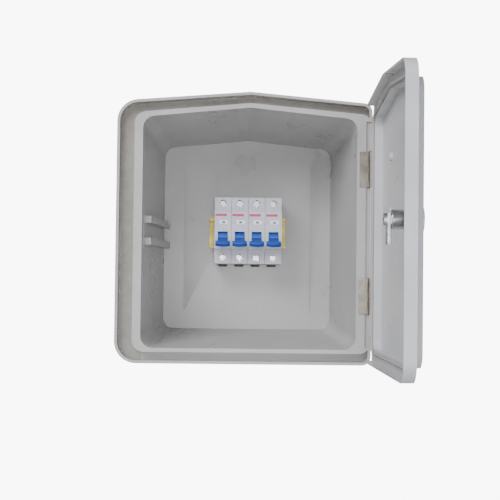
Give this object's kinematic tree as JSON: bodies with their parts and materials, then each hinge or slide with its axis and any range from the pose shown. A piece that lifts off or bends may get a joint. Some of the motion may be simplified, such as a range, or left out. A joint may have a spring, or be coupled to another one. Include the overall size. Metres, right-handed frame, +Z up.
{
  "type": "dc combiner box",
  "caption": "Moulded wall box with a gabled top, a side-hung door and a rail of modular DC breakers.",
  "frame": {"origin": "centre of the wall fixing pattern, on the wall", "axes": "+Z up, the front faces -Y, the hinges are on the +X side"},
  "size_m": [0.2682, 0.4047, 0.272],
  "materials": {
    "shell_plastic": "satin moulded",
    "door_plastic": "satin moulded",
    "hinge_steel": "satin",
    "insert_brass": "turned",
    "rail_steel": "yellow passivated",
    "seal_rubber": "matt foam",
    "lock_zinc": "plated die casting",
    "case_plastic": "fine spark texture",
    "toggle_plastic": "satin",
    "clip_plastic": "matt",
    "contact_copper": "plain copper",
    "terminal_steel": "zinc plated"
  },
  "bodies": {
    "enclosure": {"enclosure_shell": "shell_plastic", "wall_inserts": "insert_brass", "din_rail": "rail_steel", "rail_screws": "rail_steel", "upper_hinge_box_leaf": "hinge_steel", "lower_hinge_box_leaf": "hinge_steel", "upper_hinge_pin": "hinge_steel", "lower_hinge_pin": "hinge_steel", "box_leaf_screws": "hinge_steel", "breaker_1_case_left": "case_plastic", "breaker_1_case_right": "case_plastic", "breaker_2_case_left": "case_plastic", "breaker_2_case_right": "case_plastic", "breaker_3_case_left": "case_plastic", "breaker_3_case_right": "case_plastic", "breaker_4_case_left": "case_plastic", "breaker_4_case_right": "case_plastic", "terminal_clamps": "terminal_steel", "terminal_screws": "terminal_steel", "trip_coils": "contact_copper", "trip_cores": "terminal_steel", "arc_chute_plates": "terminal_steel", "bimetal_strips": "contact_copper", "load_strips": "contact_copper", "fixed_contacts": "contact_copper", "toggle_pins": "terminal_steel", "contact_pins": "terminal_steel", "case_rivets": "terminal_steel"},
    "door": {"door_panel": "door_plastic", "door_seal": "seal_rubber", "upper_hinge_door_leaf": "hinge_steel", "lower_hinge_door_leaf": "hinge_steel", "door_leaf_screws": "hinge_steel", "lock_body": "lock_zinc", "lock_nut": "lock_zinc"},
    "lock_turn": {"lock_core": "lock_zinc", "lock_cam": "lock_zinc", "lock_screw": "lock_zinc"},
    "toggle_1": {"breaker_1_toggle": "toggle_plastic"},
    "contact_1": {"breaker_1_moving_contact": "contact_copper"},
    "clip_1": {"breaker_1_rail_clip": "clip_plastic"},
    "toggle_2": {"breaker_2_toggle": "toggle_plastic"},
    "contact_2": {"breaker_2_moving_contact": "contact_copper"},
    "clip_2": {"breaker_2_rail_clip": "clip_plastic"},
    "toggle_3": {"breaker_3_toggle": "toggle_plastic"},
    "contact_3": {"breaker_3_moving_contact": "contact_copper"},
    "clip_3": {"breaker_3_rail_clip": "clip_plastic"},
    "toggle_4": {"breaker_4_toggle": "toggle_plastic"},
    "contact_4": {"breaker_4_moving_contact": "contact_copper"},
    "clip_4": {"breaker_4_rail_clip": "clip_plastic"}
  },
  "joints": [
    {"name": "door_hinge", "type": "hinge", "parent": "enclosure", "child": "door", "pos_m": [0.1207, -0.155, 0], "axis": [0, 0, 1], "range_deg": [-90, 25]},
    {"name": "lock_quarter_turn", "type": "hinge", "parent": "door", "child": "lock_turn", "pos_m": [0.1307, -0.3677, 0.0025], "axis": [-1, 0, 0], "range_deg": [0, 90]},
    {"name": "toggle_1_throw", "type": "hinge", "parent": "enclosure", "child": "toggle_1", "pos_m": [-0.027, -0.0755, -0.0005], "axis": [-1, 0, 0], "range_deg": [0, 70]},
    {"name": "contact_1_swing", "type": "hinge", "parent": "enclosure", "child": "contact_1", "pos_m": [-0.027, -0.0485, -0.0015], "axis": [-1, 0, 0], "range_deg": [0, 11]},
    {"name": "clip_1_pull", "type": "slide", "parent": "enclosure", "child": "clip_1", "axis": [0, 0, -1], "range_m": [0, 0.003], "stiffness_N_per_m": 400},
    {"name": "toggle_2_throw", "type": "hinge", "parent": "enclosure", "child": "toggle_2", "pos_m": [-0.009, -0.0755, -0.0005], "axis": [-1, 0, 0], "range_deg": [0, 70]},
    {"name": "contact_2_swing", "type": "hinge", "parent": "enclosure", "child": "contact_2", "pos_m": [-0.009, -0.0485, -0.0015], "axis": [-1, 0, 0], "range_deg": [0, 11]},
    {"name": "clip_2_pull", "type": "slide", "parent": "enclosure", "child": "clip_2", "axis": [0, 0, -1], "range_m": [0, 0.003], "stiffness_N_per_m": 400},
    {"name": "toggle_3_throw", "type": "hinge", "parent": "enclosure", "child": "toggle_3", "pos_m": [0.009, -0.0755, -0.0005], "axis": [-1, 0, 0], "range_deg": [0, 70]},
    {"name": "contact_3_swing", "type": "hinge", "parent": "enclosure", "child": "contact_3", "pos_m": [0.009, -0.0485, -0.0015], "axis": [-1, 0, 0], "range_deg": [0, 11]},
    {"name": "clip_3_pull", "type": "slide", "parent": "enclosure", "child": "clip_3", "axis": [0, 0, -1], "range_m": [0, 0.003], "stiffness_N_per_m": 400},
    {"name": "toggle_4_throw", "type": "hinge", "parent": "enclosure", "child": "toggle_4", "pos_m": [0.027, -0.0755, -0.0005], "axis": [-1, 0, 0], "range_deg": [0, 70]},
    {"name": "contact_4_swing", "type": "hinge", "parent": "enclosure", "child": "contact_4", "pos_m": [0.027, -0.0485, -0.0015], "axis": [-1, 0, 0], "range_deg": [0, 11]},
    {"name": "clip_4_pull", "type": "slide", "parent": "enclosure", "child": "clip_4", "axis": [0, 0, -1], "range_m": [0, 0.003], "stiffness_N_per_m": 400}
  ],
  "couplings": [
    {"joint": "contact_1_swing", "follows": "toggle_1_throw", "ratio": 0.15714},
    {"joint": "contact_2_swing", "follows": "toggle_2_throw", "ratio": 0.15714},
    {"joint": "contact_3_swing", "follows": "toggle_3_throw", "ratio": 0.15714},
    {"joint": "contact_4_swing", "follows": "toggle_4_throw", "ratio": 0.15714}
  ]
}
